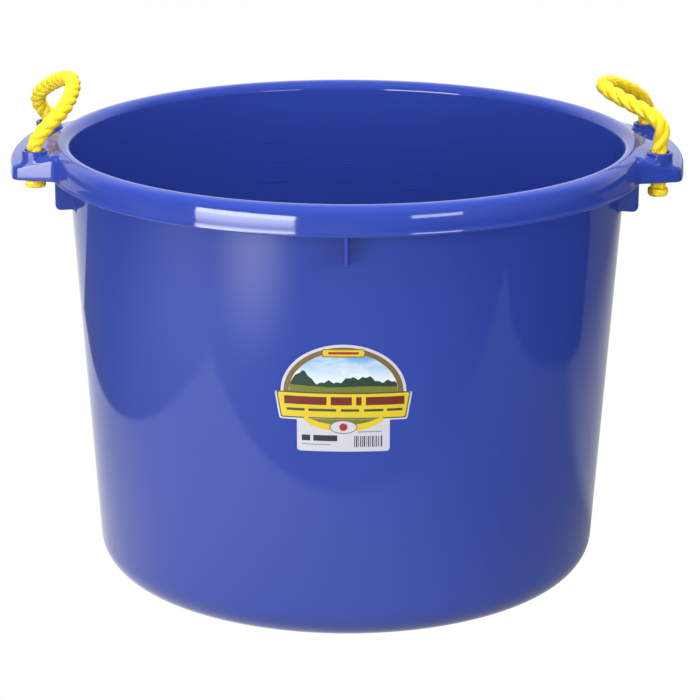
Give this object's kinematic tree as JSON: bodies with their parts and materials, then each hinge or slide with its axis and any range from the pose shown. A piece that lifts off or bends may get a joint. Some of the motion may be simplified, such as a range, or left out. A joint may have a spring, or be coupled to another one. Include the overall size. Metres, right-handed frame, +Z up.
{
  "type": "feed bucket",
  "caption": "Large round open plastic tub with a rolled rim, two moulded ears and two rope handles, for feed, water or mucking out.",
  "frame": {"origin": "centre of the base, on the surface that the tub stands on", "axes": "+Z up, X from ear to ear, -Y towards the label"},
  "size_m": [0.595, 0.5298, 0.4506],
  "materials": {
    "tub_plastic": "glossy moulded polyethylene",
    "label_paper": "coated paper",
    "rope_fibre": "twisted polypropylene fibre",
    "stop_plastic": "melted and pressed rope end"
  },
  "bodies": {
    "tub": {"tub_wall": "tub_plastic", "tub_rim": "tub_plastic", "label": "label_paper"},
    "left_rope_ends": {"left_front_leg": "rope_fibre", "left_back_leg": "rope_fibre", "left_front_stop": "stop_plastic", "left_back_stop": "stop_plastic"},
    "left_handle": {"left_rope_loop": "rope_fibre"},
    "right_rope_ends": {"right_front_leg": "rope_fibre", "right_back_leg": "rope_fibre", "right_front_stop": "stop_plastic", "right_back_stop": "stop_plastic"},
    "right_handle": {"right_rope_loop": "rope_fibre"}
  },
  "joints": [
    {"name": "left_rope_slide", "type": "slide", "parent": "tub", "child": "left_rope_ends", "axis": [0, 0, 1], "range_m": [-0.003, 0]},
    {"name": "left_handle_swing", "type": "hinge", "parent": "left_rope_ends", "child": "left_handle", "pos_m": [-0.271, 0, 0.398], "axis": [0, -1, 0], "range_deg": [-35, 30]},
    {"name": "right_rope_slide", "type": "slide", "parent": "tub", "child": "right_rope_ends", "axis": [0, 0, 1], "range_m": [0, 0.006]},
    {"name": "right_handle_swing", "type": "hinge", "parent": "right_rope_ends", "child": "right_handle", "pos_m": [0.271, 0, 0.395], "axis": [0, 1, 0], "range_deg": [-45, 60]}
  ]
}
